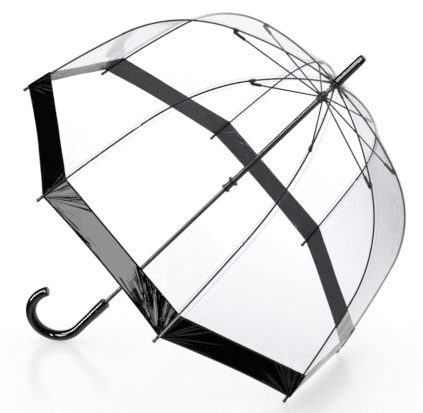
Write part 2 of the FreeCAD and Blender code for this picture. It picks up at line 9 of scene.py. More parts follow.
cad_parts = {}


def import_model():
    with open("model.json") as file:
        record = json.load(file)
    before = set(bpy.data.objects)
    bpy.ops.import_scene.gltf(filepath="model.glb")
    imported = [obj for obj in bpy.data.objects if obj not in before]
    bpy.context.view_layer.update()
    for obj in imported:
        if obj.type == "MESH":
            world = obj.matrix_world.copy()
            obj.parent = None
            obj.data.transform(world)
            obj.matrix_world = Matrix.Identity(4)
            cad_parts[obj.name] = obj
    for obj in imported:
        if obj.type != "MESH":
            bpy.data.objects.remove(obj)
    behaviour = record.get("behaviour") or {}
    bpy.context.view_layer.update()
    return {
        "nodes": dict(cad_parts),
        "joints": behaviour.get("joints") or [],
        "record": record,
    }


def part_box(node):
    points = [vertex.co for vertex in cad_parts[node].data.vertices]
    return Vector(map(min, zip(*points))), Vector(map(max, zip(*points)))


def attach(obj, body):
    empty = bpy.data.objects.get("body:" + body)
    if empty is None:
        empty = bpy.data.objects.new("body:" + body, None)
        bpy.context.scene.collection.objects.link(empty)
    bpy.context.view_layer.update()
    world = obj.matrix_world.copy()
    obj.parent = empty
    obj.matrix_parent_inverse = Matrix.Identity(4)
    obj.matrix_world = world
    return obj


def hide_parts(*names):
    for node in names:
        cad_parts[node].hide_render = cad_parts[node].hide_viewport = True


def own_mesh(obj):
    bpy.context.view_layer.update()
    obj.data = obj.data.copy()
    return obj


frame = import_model()

# ---------------------------------------------------------------- where things are

RIBS = 8
PITCH = 2 * math.pi / RIBS
HALF_PITCH = PITCH / 2
RUNS = [0.215, 0.215, 0.221]
SLOPES = [math.radians(a) for a in (5.0, 24.0, 70.5, 76.5)]
KNOTS = [0.0, 0.215, 0.430, 0.651]
FILM_OFFSET, BAND_OFFSET, SEAM_OFFSET = 0.0031, 0.0034, 0.0037
FILM_START, BAND_START, FILM_END = 0.003, 0.596, 0.602
HEM_ARCH = 0.005
SHARE = "runner_slide"

joints = {j["name"]: j for j in frame["joints"]}
hinges = [Vector(joints[f"rib_{i}_crown_hinge"]["pos_m"]) for i in range(1, RIBS + 1)]
CROWN = sum(hinges, Vector()) / RIBS
HINGE_RADIUS = (hinges[0] - CROWN).length
AXIS_Z = -Vector(joints[SHARE]["axis"]).normalized()


def rib_angle(i):
    return (i - 4.5) * PITCH


AXIS_X = sum((math.cos(rib_angle(i + 1)) * (h - CROWN) for i, h in enumerate(hinges)), Vector()).normalized()
AXIS_Y = AXIS_Z.cross(AXIS_X)
TURN = np.array([AXIS_X, AXIS_Y, AXIS_Z])


def world(points):
    """Points of the umbrella frame, with Z up the shaft, in the row frame."""
    return np.asarray(points, float) @ TURN + np.array(CROWN)


def world_point(x, y, z):
    return Vector(world([x, y, z]))


def world_direction(x, y, z):
    return Vector(np.array([x, y, z], float) @ TURN)


def rib_line(run, out):
    """(radius, height, slope) of the rib's plane curve at these runs, moved outward."""
    run = np.asarray(run, float)
    radius, height = np.zeros_like(run), np.zeros_like(run)
    slope = np.interp(run, KNOTS, SLOPES)
    start = np.array([HINGE_RADIUS, 0.0])
    for k in range(3):
        bend = RUNS[k] / (SLOPES[k + 1] - SLOPES[k])
        centre = start - bend * np.array([math.sin(SLOPES[k]), math.cos(SLOPES[k])])
        here = (run >= KNOTS[k]) if k else (run >= -1)
        radius = np.where(here, centre[0] + (bend + out) * np.sin(slope), radius)
        height = np.where(here, centre[1] + (bend + out) * np.cos(slope), height)
        start = centre + bend * np.array([math.sin(SLOPES[k + 1]), math.cos(SLOPES[k + 1])])
    return radius, height, slope


# ---------------------------------------------------------------- meshes


def set_uv(mesh, label, uv):
    """Adds a UV layer from values per point."""
    layer = mesh.uv_layers.new(name=label)
    index = np.zeros(len(mesh.loops), int)
    mesh.loops.foreach_get("vertex_index", index)
    layer.data.foreach_set("uv", uv.reshape(-1, 2)[index].astype(np.float32).ravel())


def grid_mesh(name, points, uv=None, marks=()):
    """A sheet from an array of points, rows by columns. uv and marks are values per point."""
    rows, cols = points.shape[:2]
    mesh = bpy.data.meshes.new(name)
    quads = [
        (r * cols + c, r * cols + c + 1, (r + 1) * cols + c + 1, (r + 1) * cols + c)
        for r in range(rows - 1)
        for c in range(cols - 1)
    ]
    mesh.from_pydata(points.reshape(-1, 3).tolist(), [], quads)
    mesh.polygons.foreach_set("use_smooth", [True] * len(quads))
    if uv is not None:
        set_uv(mesh, "UVMap", uv)
    for label, values in marks:
        mesh.attributes.new(label, "FLOAT", "POINT").data.foreach_set(
            "value", values.reshape(-1).astype(np.float32)
        )
    mesh.update()
    obj = bpy.data.objects.new(name, mesh)
    bpy.context.scene.collection.objects.link(obj)
    return obj


def turned_mesh(name, profile, centre, axis, segments=48):
    """A closed solid turned about an axis from (radius, height) points."""
    turn = Vector((0, 0, 1)).rotation_difference(axis).to_matrix().to_4x4()
    place = Matrix.Translation(centre) @ turn
    bm = bmesh.new()
    rings = []
    for radius, height in profile:
        if radius < 1e-6:
            rings.append([bm.verts.new(place @ Vector((0, 0, height)))])
            continue
        angles = [2 * math.pi * k / segments for k in range(segments)]
        rings.append(
            [bm.verts.new(place @ Vector((radius * math.cos(a), radius * math.sin(a), height))) for a in angles]
        )
    for low, high in zip(rings, rings[1:]):
        for k in range(segments):
            n = (k + 1) % segments
            if len(low) == 1:
                bm.faces.new((low[0], high[n], high[k]))
            elif len(high) == 1:
                bm.faces.new((low[k], low[n], high[0]))
            else:
                bm.faces.new((low[k], low[n], high[n], high[k]))
    bmesh.ops.recalc_face_normals(bm, faces=bm.faces)
    mesh = bpy.data.meshes.new(name)
    bm.to_mesh(mesh)
    bm.free()
    mesh.shade_smooth()
    obj = bpy.data.objects.new(name, mesh)
    bpy.context.scene.collection.objects.link(obj)
    return obj


# ---------------------------------------------------------------- materials


class Net:
    """The node tree of a material or a world, built by short calls."""

    def __init__(self, owner, output="OutputMaterial"):
        owner.use_nodes = True
        self.owner, self.tree = owner, owner.node_tree
        self.tree.nodes.clear()
        self.output = self.add(output)

    def add(self, kind, sockets=(), **settings):
        node = self.tree.nodes.new("ShaderNode" + kind)
        for key, value in settings.items():
            setattr(node, key, value)
        for key, value in dict(sockets).items():
            if isinstance(value, bpy.types.NodeSocket):
                self.tree.links.new(value, node.inputs[key])
            else:
                node.inputs[key].default_value = value
        return node

    def noise(self, where, scale, detail=3.0, rough=0.5):
        sockets = {"Vector": where, "Scale": scale, "Detail": detail, "Roughness": rough}
        return self.add("TexNoise", sockets).outputs["Fac"]

    def stretched(self, where, scale):
        return self.add("Mapping", {"Vector": where, "Scale": scale}).outputs["Vector"]

    def ranged(self, value, low, high, to_low, to_high):
        sockets = {"Value": value, "From Min": low, "From Max": high, "To Min": to_low, "To Max": to_high}
        return self.add("MapRange", sockets).outputs["Result"]

    def math(self, operation, a, b):
        return self.add("Math", {0: a, 1: b}, operation=operation).outputs[0]

    def mix_colour(self, share, a, b):
        node = self.tree.nodes.new("ShaderNodeMix")
        node.data_type = "RGBA"
        for socket, value in zip((node.inputs[0], node.inputs[6], node.inputs[7]), (share, a, b)):
            if isinstance(value, bpy.types.NodeSocket):
                self.tree.links.new(value, socket)
            else:
                socket.default_value = value
        return node.outputs[2]

    def bump(self, height, strength, distance, normal=None):
        sockets = {"Height": height, "Strength": strength, "Distance": distance}
        if normal is not None:
            sockets["Normal"] = normal
        return self.add("Bump", sockets).outputs["Normal"]

    def finish(self, shader):
        self.tree.links.new(shader, self.output.inputs["Surface"])
        return self.owner


WHITE = (1.0, 1.0, 1.0, 1.0)
CLEAR_TINT, HAZE_AND_SHADE_TINT, MILK = (0.995, 0.993, 1.0, 1.0), (0.0, 0.0, 0.13, 1.0), (0.85, 0.85, 0.89, 1.0)


def grey(level, blue=0.0):
    return (level, level, level + blue, 1.0)


def moulded(name, colour, rough, grain, bump, specular, coat=0.0):
    """Moulded or enamelled black: fine grain, soft waviness, handling marks and rubbed edges."""
    net = Net(bpy.data.materials.new(name))
    where = net.add("TexCoord").outputs["Object"]
    smear = net.noise(where, 38.0, 5.0, 0.62)
    fine = net.noise(where, grain, 3.0, 0.6)
    wave = net.noise(where, 90.0, 2.0, 0.5)
    edge = net.ranged(net.add("NewGeometry").outputs["Pointiness"], 0.53, 0.62, 0.0, 0.5)
    smeared = net.ranged(smear, 0.3, 0.75, 0.0, 1.0)
    body = net.mix_colour(smeared, grey(colour * 0.75), grey(colour * 1.3, colour * 0.1))
    worn = net.mix_colour(edge, body, grey(colour * 4 + 0.008))
    handled = net.ranged(smear, 0.25, 0.8, rough * 0.75, rough * 1.35)
    roughness = net.math("ADD", handled, net.math("MULTIPLY", edge, 0.15))
    normal = net.bump(fine, 0.25, bump, net.bump(wave, 0.1, 0.0004))
    sockets = {
        "Base Color": worn, "Roughness": roughness, "Normal": normal, "Specular IOR Level": specular,
        "Coat Weight": coat, "Coat Roughness": 0.06,
    }
    return net.finish(net.add("BsdfPrincipled", sockets).outputs[0])


def brushed_steel(name, colour):
    net = Net(bpy.data.materials.new(name))
    where = net.add("TexCoord").outputs["Object"]
    lines = net.noise(net.stretched(where, (900.0, 900.0, 60.0)), 1.0, 2.0, 0.6)
    tint = net.mix_colour(net.ranged(lines, 0.3, 0.7, 0.0, 1.0), grey(colour * 0.8), grey(colour * 1.1, 0.01))
    sockets = {"Base Color": tint, "Metallic": 1.0, "Roughness": net.ranged(lines, 0.2, 0.8, 0.22, 0.4),
               "Normal": net.bump(lines, 0.2, 0.00008)}
    return net.finish(net.add("BsdfPrincipled", sockets).outputs[0])


def film_folds(net):
    """(normal, pulled, fold, skin) of soft film: streaks pulled down the panel, a fan of creases at each
    corner of the hem, and the unevenness of its skin."""
    uv = net.add("TexCoord").outputs["UV"]
    fan_at = net.add("UVMap", uv_map="Fan").outputs["UV"]
    fan_mark = net.add("Attribute", attribute_name="fan").outputs["Fac"]
    pull_mark = net.add("Attribute", attribute_name="pull").outputs["Fac"]
    streaks = net.noise(net.stretched(uv, (26.0, 2.2, 1.0)), 1.0, 4.0, 0.62)
    broad = net.noise(net.stretched(fan_at, (1.9, 0.5, 1.0)), 1.0, 1.0, 0.4)
    fine = net.noise(net.stretched(fan_at, (6.5, 0.9, 1.0)), 1.0, 2.0, 0.5)
    strong, faint = net.ranged(broad, 0.53, 0.61, 0.0, 1.0), net.ranged(fine, 0.58, 0.66, 0.0, 0.07)
    creases = net.math("ADD", strong, faint)
    fold = net.math("MULTIPLY", creases, fan_mark)
    pulled = net.math("MULTIPLY", streaks, pull_mark)
    skin = net.noise(uv, 9.0, 3.0, 0.55)
    normal = net.bump(pulled, 1.0, 0.00025)
    normal = net.bump(fold, 1.0, 0.0020, normal)
    normal = net.bump(skin, 0.25, 0.0004, normal)
    return normal, pulled, fold, skin


def clear_film(name, haze_and_shade_strength, milky_share, lustre_share=0.8, ior=1.42):
    """Thin vinyl. The mark shade tints it: partly the film's haze, partly painted shade and a painted highlight
    set panel by panel; folds are painted clear, a painted highlight along the creases.

    Fresnel takes a face seen from behind for light that leaves the film, so the index is inverted there.
    """
    net = Net(bpy.data.materials.new(name))
    normal, pulled, fold, skin = film_folds(net)
    behind = net.add("NewGeometry").outputs["Backfacing"]
    index = net.ranged(behind, 0.0, 1.0, ior, 1 / ior)
    fresnel = net.add("Fresnel", {"IOR": index, "Normal": normal}).outputs["Fac"]
    slanted = net.ranged(fresnel, 0.035, 1.0, 0.001, lustre_share)
    lustre = net.math("ADD", slanted, net.math("MULTIPLY", fold, 0.006))
    gloss = net.add("BsdfGlossy", {"Color": WHITE, "Roughness": 0.04, "Normal": normal}).outputs[0]
    mark = net.add("Attribute", attribute_name="shade").outputs["Fac"]
    streaky, patchy = net.ranged(pulled, 0.0, 0.8, 0.72, 1.35), net.ranged(skin, 0.3, 0.7, 0.85, 1.15)
    uneven = net.math("MULTIPLY", streaky, patchy)
    # painted light: the shade mark brings painted shade and a painted highlight, and folds are painted clear as
    # a painted highlight along the creases
    shade = net.math("MULTIPLY", net.math("MULTIPLY", mark, uneven), net.ranged(fold, 0.15, 0.8, haze_and_shade_strength, 0.0))
    through = net.mix_colour(shade, CLEAR_TINT, HAZE_AND_SHADE_TINT)
    clear = net.add("BsdfTransparent", {"Color": through}).outputs[0]
    milky = net.add("BsdfDiffuse", {"Color": MILK, "Normal": normal}).outputs[0]
    body = net.add("MixShader", {0: milky_share, 1: clear, 2: milky}).outputs[0]
    return net.finish(net.add("MixShader", {0: lustre, 1: body, 2: gloss}).outputs[0])


def black_film(name, outside, inner_painted_grey, rough, specular):
    """Black vinyl, glossy outside and duller where its inner face shows; the inner face is painted a lighter
    grey than the outside, painted light that stands in for the light falling on it.
    """
    net = Net(bpy.data.materials.new(name))
    normal, _, _, skin = film_folds(net)
    normal = net.bump(net.add("Attribute", attribute_name="rim").outputs["Fac"], 1.0, 0.0007, normal)
    behind = net.add("NewGeometry").outputs["Backfacing"]
    patchy = net.ranged(skin, 0.3, 0.7, 0.0, 1.0)
    # painted light: the inner face gets a lighter grey than the outer face of the same vinyl
    inner_face_painted_light = net.mix_colour(patchy, grey(inner_painted_grey * 0.85, 0.004), grey(inner_painted_grey * 1.15, 0.007))
    tone = net.mix_colour(behind, grey(outside), inner_face_painted_light)
    uneven = net.ranged(skin, 0.2, 0.8, rough * 0.8, rough * 1.3)
    roughness = net.math("ADD", uneven, net.math("MULTIPLY", behind, 0.12))
    sockets = {"Base Color": tone, "Normal": normal, "Roughness": roughness, "Specular IOR Level": specular}
    return net.finish(net.add("BsdfPrincipled", sockets).outputs[0])


def ribbon(name):
    """Black woven tape."""
    net = Net(bpy.data.materials.new(name))
    uv = net.add("TexCoord").outputs["UV"]
    warp = net.add("TexWave", {"Vector": uv, "Scale": 260.0, "Distortion": 0.6}, bands_direction="X")
    weft = net.add("TexWave", {"Vector": uv, "Scale": 190.0, "Distortion": 0.6}, bands_direction="Y")
    weave = net.math("MULTIPLY", warp.outputs["Fac"], weft.outputs["Fac"])
    tone = net.mix_colour(weave, grey(0.003), grey(0.012, 0.001))
    woven = net.bump(weave, 0.7, 0.0003)
    sockets = {"Base Color": tone, "Roughness": 0.62, "Normal": woven, "Specular IOR Level": 0.2}
    return net.finish(net.add("BsdfPrincipled", sockets).outputs[0])


MATERIALS = {
    "rib_rod": moulded("rod_satin_black", 0.0015, 0.42, 1500.0, 0.00002, 0.06),
    "stretcher_steel": moulded("enamelled_steel", 0.0015, 0.36, 1100.0, 0.00005, 0.14),
    "rib_tip": moulded("tip_black", 0.002, 0.22, 900.0, 0.00005, 0.3, 0.3),
    "black_steel": moulded("shaft_enamel", 0.002, 0.13, 700.0, 0.000008, 0.45, 0.7),
    "black_gloss": moulded("polished_black", 0.0015, 0.10, 600.0, 0.000004, 0.4, 0.7),
    "black_nylon": moulded("nylon_black", 0.004, 0.42, 1300.0, 0.00010, 0.3),
    "bright_wire": brushed_steel("spring_steel", 0.62),
    "clear_film": clear_film("clear_film", 1.0, 0.004),
    "black_film": black_film("black_film", 0.0006, 0.052, 0.04, 0.24),
}
seam_film = clear_film("welded_seam", 1.0, 0.02)
strap_cloth = ribbon("strap_ribbon")

for row in frame["record"]["subparts"]:
    node = frame["nodes"][row["node"]]
    node.data.materials.clear()
    node.data.materials.append(MATERIALS[row["material_slot"]])

# ---------------------------------------------------------------- canopy film


def smooth(x, low, high):
    t = np.clip((x - low) / (high - low), 0, 1)
    return t * t * (3 - 2 * t)


CREASES = 7
SIDES = ((1, "left"), (-1, "right"))
# how far the film stands out of the flat panel
SAG_DEPTH, PLEAT_HEIGHT, CREASE_HEIGHT, RIPPLE_HEIGHT = 0.0035, 0.0011, 0.0009, 0.0016


def crease_set(i, side):
    """Creases (angle, width, height) that leave the hem's corner at rib i on this side of it."""
    rng = np.random.default_rng(100 * i + (1 if side > 0 else 2))
    angles = np.radians(np.linspace(12, 74, CREASES) + rng.uniform(-4, 4, CREASES))
    return list(zip(angles, np.radians(rng.uniform(2.4, 5.0, CREASES)), rng.uniform(-1.0, 1.0, CREASES)))


def from_corner(off_rib, run):
    """(distance, angle from the rib) of film points, seen from the corner of the hem."""
    length = KNOTS[3] - run
    return np.hypot(off_rib, length), np.arctan2(off_rib, np.maximum(length, 1e-6))


def out_of_plane(i, side, run, off_rib, half):
    """How far the film stands out of the flat panel, off_rib from the rib in a panel 2 x half wide."""
    inner = np.clip(off_rib / np.maximum(half, 1e-6), 0, 1)
    mid = 1 - (1 - inner) ** 2
    dip = -SAG_DEPTH * np.sin(np.pi * np.clip((run - 0.02) / 0.6, 0, 1)) * mid
    pleat = PLEAT_HEIGHT * np.exp(-run / 0.05) * np.sin(inner * 4 * math.pi + side * 0.6)
    pleat = pleat * smooth(inner, 0.0, 0.2) * (1 - smooth(inner, 0.85, 1.0))
    reach, angle = from_corner(off_rib, run)
    fan = sum(a * np.exp(-(((angle - b) / w) ** 2)) for b, w, a in crease_set(i, side))
    fan = CREASE_HEIGHT * fan * smooth(reach, 0.012, 0.035) * np.exp(-np.maximum(reach - 0.03, 0) / 0.055)
    fan = fan * smooth(off_rib, 0.0, 0.012) * (1 - smooth(inner, 0.75, 1.0))
    ripple = np.zeros_like(run)
    flat = ripple.reshape(-1)
    panel = (i - 1 if side > 0 else i - 2) % RIBS
    across = (half - off_rib) * (-side)
    for k, (x, s) in enumerate(zip(across.reshape(-1), run.reshape(-1))):
        flat[k] = noise.noise(Vector((x * 11, s * 7, panel * 5.3)))
    return dip + pleat + fan + RIPPLE_HEIGHT * ripple * smooth(inner, 0.0, 0.5)


# the film's tint in each panel at the crown, at the waist and at the hem: partly its haze, partly painted
# light; panel 2 is painted clear as a painted highlight of the mirrored key softbox, and panels 4 and 5 and the
# hem of panel 3 are painted darker as painted shade
HAZE_AND_PAINTED_LIGHT = {
    1: (0.05, 0.05, 0.06), 2: (0.02, 0.0, 0.0), 3: (0.03, 0.03, 0.13), 4: (0.14, 0.22, 0.10),
    5: (0.14, 0.24, 0.05), 6: (0.05, 0.02, 0.02), 7: (0.05, 0.03, 0.02), 8: (0.05, 0.06, 0.05),
}


def panel_haze_and_painted_light(panel, run, inner, side):
    """How much the film is tinted at each point of this side of a panel: its haze, with painted shade and a
    painted highlight in it.
    """
    crown, waist, hem = HAZE_AND_PAINTED_LIGHT[panel]
    value = np.interp(run, [0.05, 0.2, 0.38, 0.45, 0.58], [crown, waist, waist, (waist + hem) / 2, hem])
    # beside rib 3, low on panel 2, the tint comes back where the painted highlight of that panel ends
    if panel == 2 and side < 0:
        value = value + 0.09 * smooth(run, 0.42, 0.50) * (1 - smooth(inner, 0.62, 0.9))
    return value


def half_gore(name, i, side, runs, columns, out, hem=False, across_from=0.0, across_to=None):
    """Half a panel, from rib i to the middle of the panel on one side of it.

    across_from and across_to make it a piece between those distances from the rib instead.
    """
    phi = rib_angle(i) + side * HALF_PITCH
    share = np.linspace(0, 1, columns)
    run = np.repeat(np.asarray(runs)[:, None], columns, 1)
    if hem:
        low, high = run[0, 0], run[-1, 0]
        drop = HEM_ARCH * (1 - (1 - share) ** 2)[None, :]
        run = run - drop * ((run - low) / (high - low))
    radius, height, slope = rib_line(run, out)
    half = radius * math.sin(HALF_PITCH)
    if across_to is None:
        off_rib = share[None, :] * half
    else:
        off_rib = across_from + share[None, :] * (across_to - across_from) + 0 * half
    lift = out_of_plane(i, side, run, off_rib, half)
    reach = radius * math.cos(HALF_PITCH) + lift * np.sin(slope)
    along = -side * (half - off_rib)
    c, s = math.cos(phi), math.sin(phi)
    local = np.stack([reach * c - along * s, reach * s + along * c, height + lift * np.cos(slope)], -1)
    corner, angle = from_corner(off_rib, run)
    inner = off_rib / np.maximum(half, 1e-6)
    panel = (i if side > 0 else i - 1) % RIBS
    across = np.where(side > 0, -1 + inner, 1 - inner)
    uv = np.stack([across + 2.5 * panel, run * 6], -1)
    fan_uv = np.stack([angle * 4 + i * 3.1 + (0 if side > 0 else 40), corner * 9], -1)
    seed = np.random.default_rng(7 * i + (3 if side > 0 else 0))
    fan_mark = seed.uniform(0.5, 1.0) * smooth(corner, 0.002, 0.02)
    fan_mark = fan_mark * np.exp(-np.maximum(corner - 0.04, 0) / 0.05)
    fan_mark = fan_mark * smooth(off_rib, 0.0, 0.010) * (1 - smooth(inner, 0.7, 1.0))
    pull_mark = np.clip(0.25 + 0.9 * np.exp(-run / 0.09) + 0.5 * np.exp(-(((run - 0.33) / 0.1) ** 2)), 0, 1.2)
    # tint mark per point: the film's haze with painted shade and a painted highlight in it
    shade = panel_haze_and_painted_light(i if side > 0 else (i - 2) % RIBS + 1, run, inner, side) * np.ones_like(run)
    inset = np.minimum(run - run[0, 0], (run[-1:, :] - run) + 0 * run)
    rim = np.exp(-(((inset - 0.0022) / 0.0008) ** 2))
    if side > 0:
        local, uv, fan_uv, fan_mark, pull_mark, shade, rim = (
            v[:, ::-1] for v in (local, uv, fan_uv, fan_mark, pull_mark, shade, rim))
    marks = (("fan", fan_mark), ("pull", pull_mark), ("shade", shade), ("rim", rim))
    obj = grid_mesh(name, world(local), uv, marks)
    set_uv(obj.data, "Fan", fan_uv)
    width = float(half.max()) if across_to is None else abs(across_to - across_from)
    area = float(np.trapz(half[:, 0], run[:, 0])) if across_to is None else width * float(np.ptp(run[:, 0]))
    obj["flat"] = [width, float(np.ptp(run[:, 0])), area]
    return obj


def strip_over_rib(i, runs, out, x, off):
    """Points and UVs of a narrow strip along rib i. x is across the rib, and off is outward."""
    radius, height, slope = rib_line(runs, out)
    reach = radius[:, None] + off * np.sin(slope)[:, None]
    rise = height[:, None] + off * np.cos(slope)[:, None]
    c, s = math.cos(rib_angle(i)), math.sin(rib_angle(i))
    points = np.stack([reach * c - x[None, :] * s, reach * s + x[None, :] * c, rise], -1)
    uv = np.stack([np.repeat(x[None, :] * 30, len(runs), 0) + i, np.repeat(runs[:, None] * 6, len(x), 1)], -1)
    return points, uv


def seam_fold(name, i, first, last, out):
    """The seam of two black panels over a rib: the film folded up into a low ridge."""
    runs = np.linspace(first, last, 40)
    x = np.array([-3.0, -2.2, -1.5, -1.0, -0.6, 0.0, 0.6, 1.0, 1.5, 2.2, 3.0]) / 1000
    ridge = np.array([0.0, 0.1, 0.3, 0.9, 1.1, 1.15, 1.1, 0.9, 0.3, 0.1, 0.0]) / 1000
    off = (ridge - np.abs(x) * 0.4)[None, :] + 0.00008 * np.sin(runs * 1500)[:, None]
    points, uv = strip_over_rib(i, runs, out, x, off)
    obj = grid_mesh(name, world(points[:, ::-1]), uv)
    obj.data.uv_layers.new(name="Fan")
    return obj


MIDDLE = 0.3225
SEGMENTS = [
    # name, body, CAD node, first run, last run, rows, columns, share of its width when closed
    ("crown", "upper_rib_{}", "rib_{}_upper", FILM_START, KNOTS[1], 54, 30, 0.14),
    ("shoulder", "middle_rib_{}", "rib_{}_middle", KNOTS[1], MIDDLE, 27, 38, 0.09),
    ("belly", "middle_rib_{}", "rib_{}_middle", MIDDLE, KNOTS[2], 27, 42, 0.08),
    ("skirt", "lower_rib_{}", "rib_{}_lower", KNOTS[2], FILM_END, 46, 50, 0.05),
]
SEAM_START, SEAM_HALF_WIDE, BAND_COLUMNS = 0.012, 0.0075, 60


def squash_to_rib(obj):
    """Gives a piece its own copy of its mesh."""
    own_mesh(obj)


def declare(obj):
    """Removes the flat size that half_gore put on a piece."""
    del obj["flat"]


def seam_strip(name, i, first, last, out, half_wide, rows):
    """The weld between two panels: a strip of doubled film over the rib, with a thin bead along each edge."""
    runs = np.linspace(first, last, rows)
    slope = rib_line(runs, out)[2]
    x = half_wide * np.array([-1.0, -0.93, -0.86, -0.5, -0.12, 0.0, 0.12, 0.5, 0.86, 0.93, 1.0])
    on_bead = (np.abs(x) > 0.9 * half_wide)[None, :]
    level = np.sin(slope) ** 2 * math.cos(HALF_PITCH) + np.cos(slope) ** 2
    steep = np.sin(slope) * math.sin(HALF_PITCH) / level
    off = -np.abs(x)[None, :] * steep[:, None] + 0.0002 * on_bead
    points, uv = strip_over_rib(i, runs, out, x, off)
    blank = np.ones((rows, len(x)))
    bead = on_bead * (0.55 + 0.35 * np.sin(runs * 1900))[:, None]
    marks = (("fan", blank * 0.0), ("pull", blank * 0.5), ("shade", 0.02 + bead))
    obj = grid_mesh(name, world(points), uv, marks)
    obj.data.uv_layers.new(name="Fan")
    return obj


edge_rows = np.array([0, 0.6, 1.2, 1.8, 2.4, 3.0, 3.8, 5.0]) / 1000
inner_rows = np.linspace(BAND_START + 0.0075, KNOTS[3] - 0.0075, 17)
band_rows = np.concatenate([BAND_START + edge_rows, inner_rows, KNOTS[3] - edge_rows[::-1]])
for i in range(1, RIBS + 1):
    for label, body, node, first, last, rows, columns, keep in SEGMENTS:
        start = max(first, SEAM_START)
        seam = seam_strip(f"seam_{i}_{label}", i, start, last, SEAM_OFFSET, SEAM_HALF_WIDE, rows * 4)
        seam.data.materials.append(seam_film)
        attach(seam, body.format(i))
        for side, word in SIDES:
            runs = np.linspace(first, last, rows)
            piece = half_gore(f"film_{i}_{label}_{word}", i, side, runs, columns, FILM_OFFSET)
            piece.data.materials.append(MATERIALS["clear_film"])
            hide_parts("canopy_film")
            declare(piece)
            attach(piece, body.format(i))
            squash_to_rib(piece)
    for side, word in SIDES:
        piece = half_gore(f"band_{i}_{word}", i, side, band_rows, BAND_COLUMNS, BAND_OFFSET, hem=True)
        piece.data.materials.append(MATERIALS["black_film"])
        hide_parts("hem_band")
        declare(piece)
        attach(piece, f"lower_rib_{i}")
        squash_to_rib(piece)

# ---------------------------------------------------------------- tie strap and its snap

STRAP_RUN, STRAP_WIDE, STRAP_LONG, STRAP_INSET, STRAP_OFFSET = 0.6235, 0.014, 0.130, 0.009, BAND_OFFSET + 0.0011
strap_rows = np.linspace(STRAP_RUN - STRAP_WIDE / 2, STRAP_RUN + STRAP_WIDE / 2, 9)
strap = half_gore("tie_strap_ribbon", 6, 1, strap_rows, 66, STRAP_OFFSET, across_from=STRAP_INSET,
                  across_to=STRAP_INSET + STRAP_LONG)
strap.data.materials.append(strap_cloth)
thick = strap.modifiers.new("thickness", "SOLIDIFY")
thick.thickness = 0.0008
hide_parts("tie_strap")
declare(strap)
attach(strap, "lower_rib_6")
squash_to_rib(strap)

box_low, box_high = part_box("strap_stud")
snap_at = (box_low + box_high) / 2
slope = float(rib_line(np.array(STRAP_RUN), 0.0)[2])
phi = rib_angle(6) + HALF_PITCH
snap_axis = world_direction(math.sin(slope) * math.cos(phi), math.sin(slope) * math.sin(phi), math.cos(slope))
snap_profile = [
    (0.0, -0.0014), (0.0054, -0.0014), (0.0055, -0.0006), (0.0051, 0.0004), (0.0043, 0.0008),
    (0.0036, 0.0005), (0.0030, 0.0001), (0.0022, 0.0002), (0.0014, 0.0006), (0.0, 0.0008),
]
snap = turned_mesh("strap_snap", snap_profile, snap_at, snap_axis)
snap.data.materials.append(MATERIALS["bright_wire"])
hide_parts("strap_stud")
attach(snap, "lower_rib_6")

# ---------------------------------------------------------------- crown patch: gathered film

PATCH_INNER, PATCH_OUTER, PATCH_HEIGHT, PATCH_FALL = 0.010, 0.0235, 0.0041, 0.05
patch_angles = np.linspace(0, 2 * math.pi, 161)
patch_radii = np.linspace(PATCH_INNER, PATCH_OUTER, 12)
a, r = np.meshgrid(patch_angles, patch_radii)
grow = (r - patch_radii[0]) / np.ptp(patch_radii)
frill = 0.0011 * grow * np.sin(a * 16 + 0.7 * np.sin(a * 3)) + 0.0005 * grow * np.sin(a * 37)
level = PATCH_HEIGHT - PATCH_FALL * (r - PATCH_INNER) + np.abs(frill) + 0.0004
patch_points = np.stack([r * np.cos(a), r * np.sin(a), level], -1)
patch = grid_mesh("crown_patch", world(patch_points), np.stack([a * 3, r * 40], -1),
                  (("fan", 0 * a), ("pull", 0 * a + 1.0), ("shade", 0 * a + 0.35)))
patch.data.uv_layers.new(name="Fan")
patch.data.materials.append(seam_film)
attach(patch, "root")

# ---------------------------------------------------------------- rib ends: cap, thread and hem fold

ROD_SIDE = -0.00175
THREAD_START, THREAD_PITCH, THREAD_TURNS, THREAD_CORE = -0.0066, 0.0011, 6, 0.0017
CAP_PROFILE = [
    (0.0, 0.0008), (0.0027, 0.0008), (0.0032, 0.0013), (0.0033, 0.0024), (0.0029, 0.0034), (0.0027, 0.0050),
    (0.0028, 0.0080), (0.0031, 0.0105), (0.0033, 0.0120), (0.0032, 0.0132), (0.0024, 0.0142), (0.0, 0.0146),
]
THREAD_PROFILE = [(0.0, -0.0068)]
for k in range(THREAD_TURNS):
    z = THREAD_START + THREAD_PITCH * k
    THREAD_PROFILE += [(THREAD_CORE, z), (0.0022, z + 0.0003), (0.0023, z + 0.00055), (0.0022, z + 0.0008)]
THREAD_PROFILE += [(THREAD_CORE, 0.0002), (0.0, 0.0002)]

for i in range(1, RIBS + 1):
    theta = rib_angle(i)
    radial = Vector((math.cos(theta), math.sin(theta), 0))
    side = Vector((-math.sin(theta), math.cos(theta), 0)) * ROD_SIDE
    radius, height, slope = (float(v) for v in rib_line(np.array(KNOTS[3]), 0.0))
    down = radial * math.cos(slope) + Vector((0, 0, -math.sin(slope)))
    base = radial * radius + Vector((0, 0, height)) + side
    at, way = world_point(*base), world_direction(*down)
    tip = turned_mesh(f"tip_cap_{i}", CAP_PROFILE, at, way, 28)
    tip.data.materials.append(MATERIALS["rib_tip"])
    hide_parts(f"rib_{i}_tip")
    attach(tip, f"lower_rib_{i}")
    thread = turned_mesh(f"tip_thread_{i}", THREAD_PROFILE, at, way, 20)
    thread.data.materials.append(strap_cloth)
    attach(thread, f"lower_rib_{i}")
    fold = seam_fold(f"band_fold_{i}", i, BAND_START, KNOTS[3] - 0.001, BAND_OFFSET + 0.0002)
    fold.data.materials.append(MATERIALS["black_film"])
    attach(fold, f"lower_rib_{i}")

# ---------------------------------------------------------------- handle

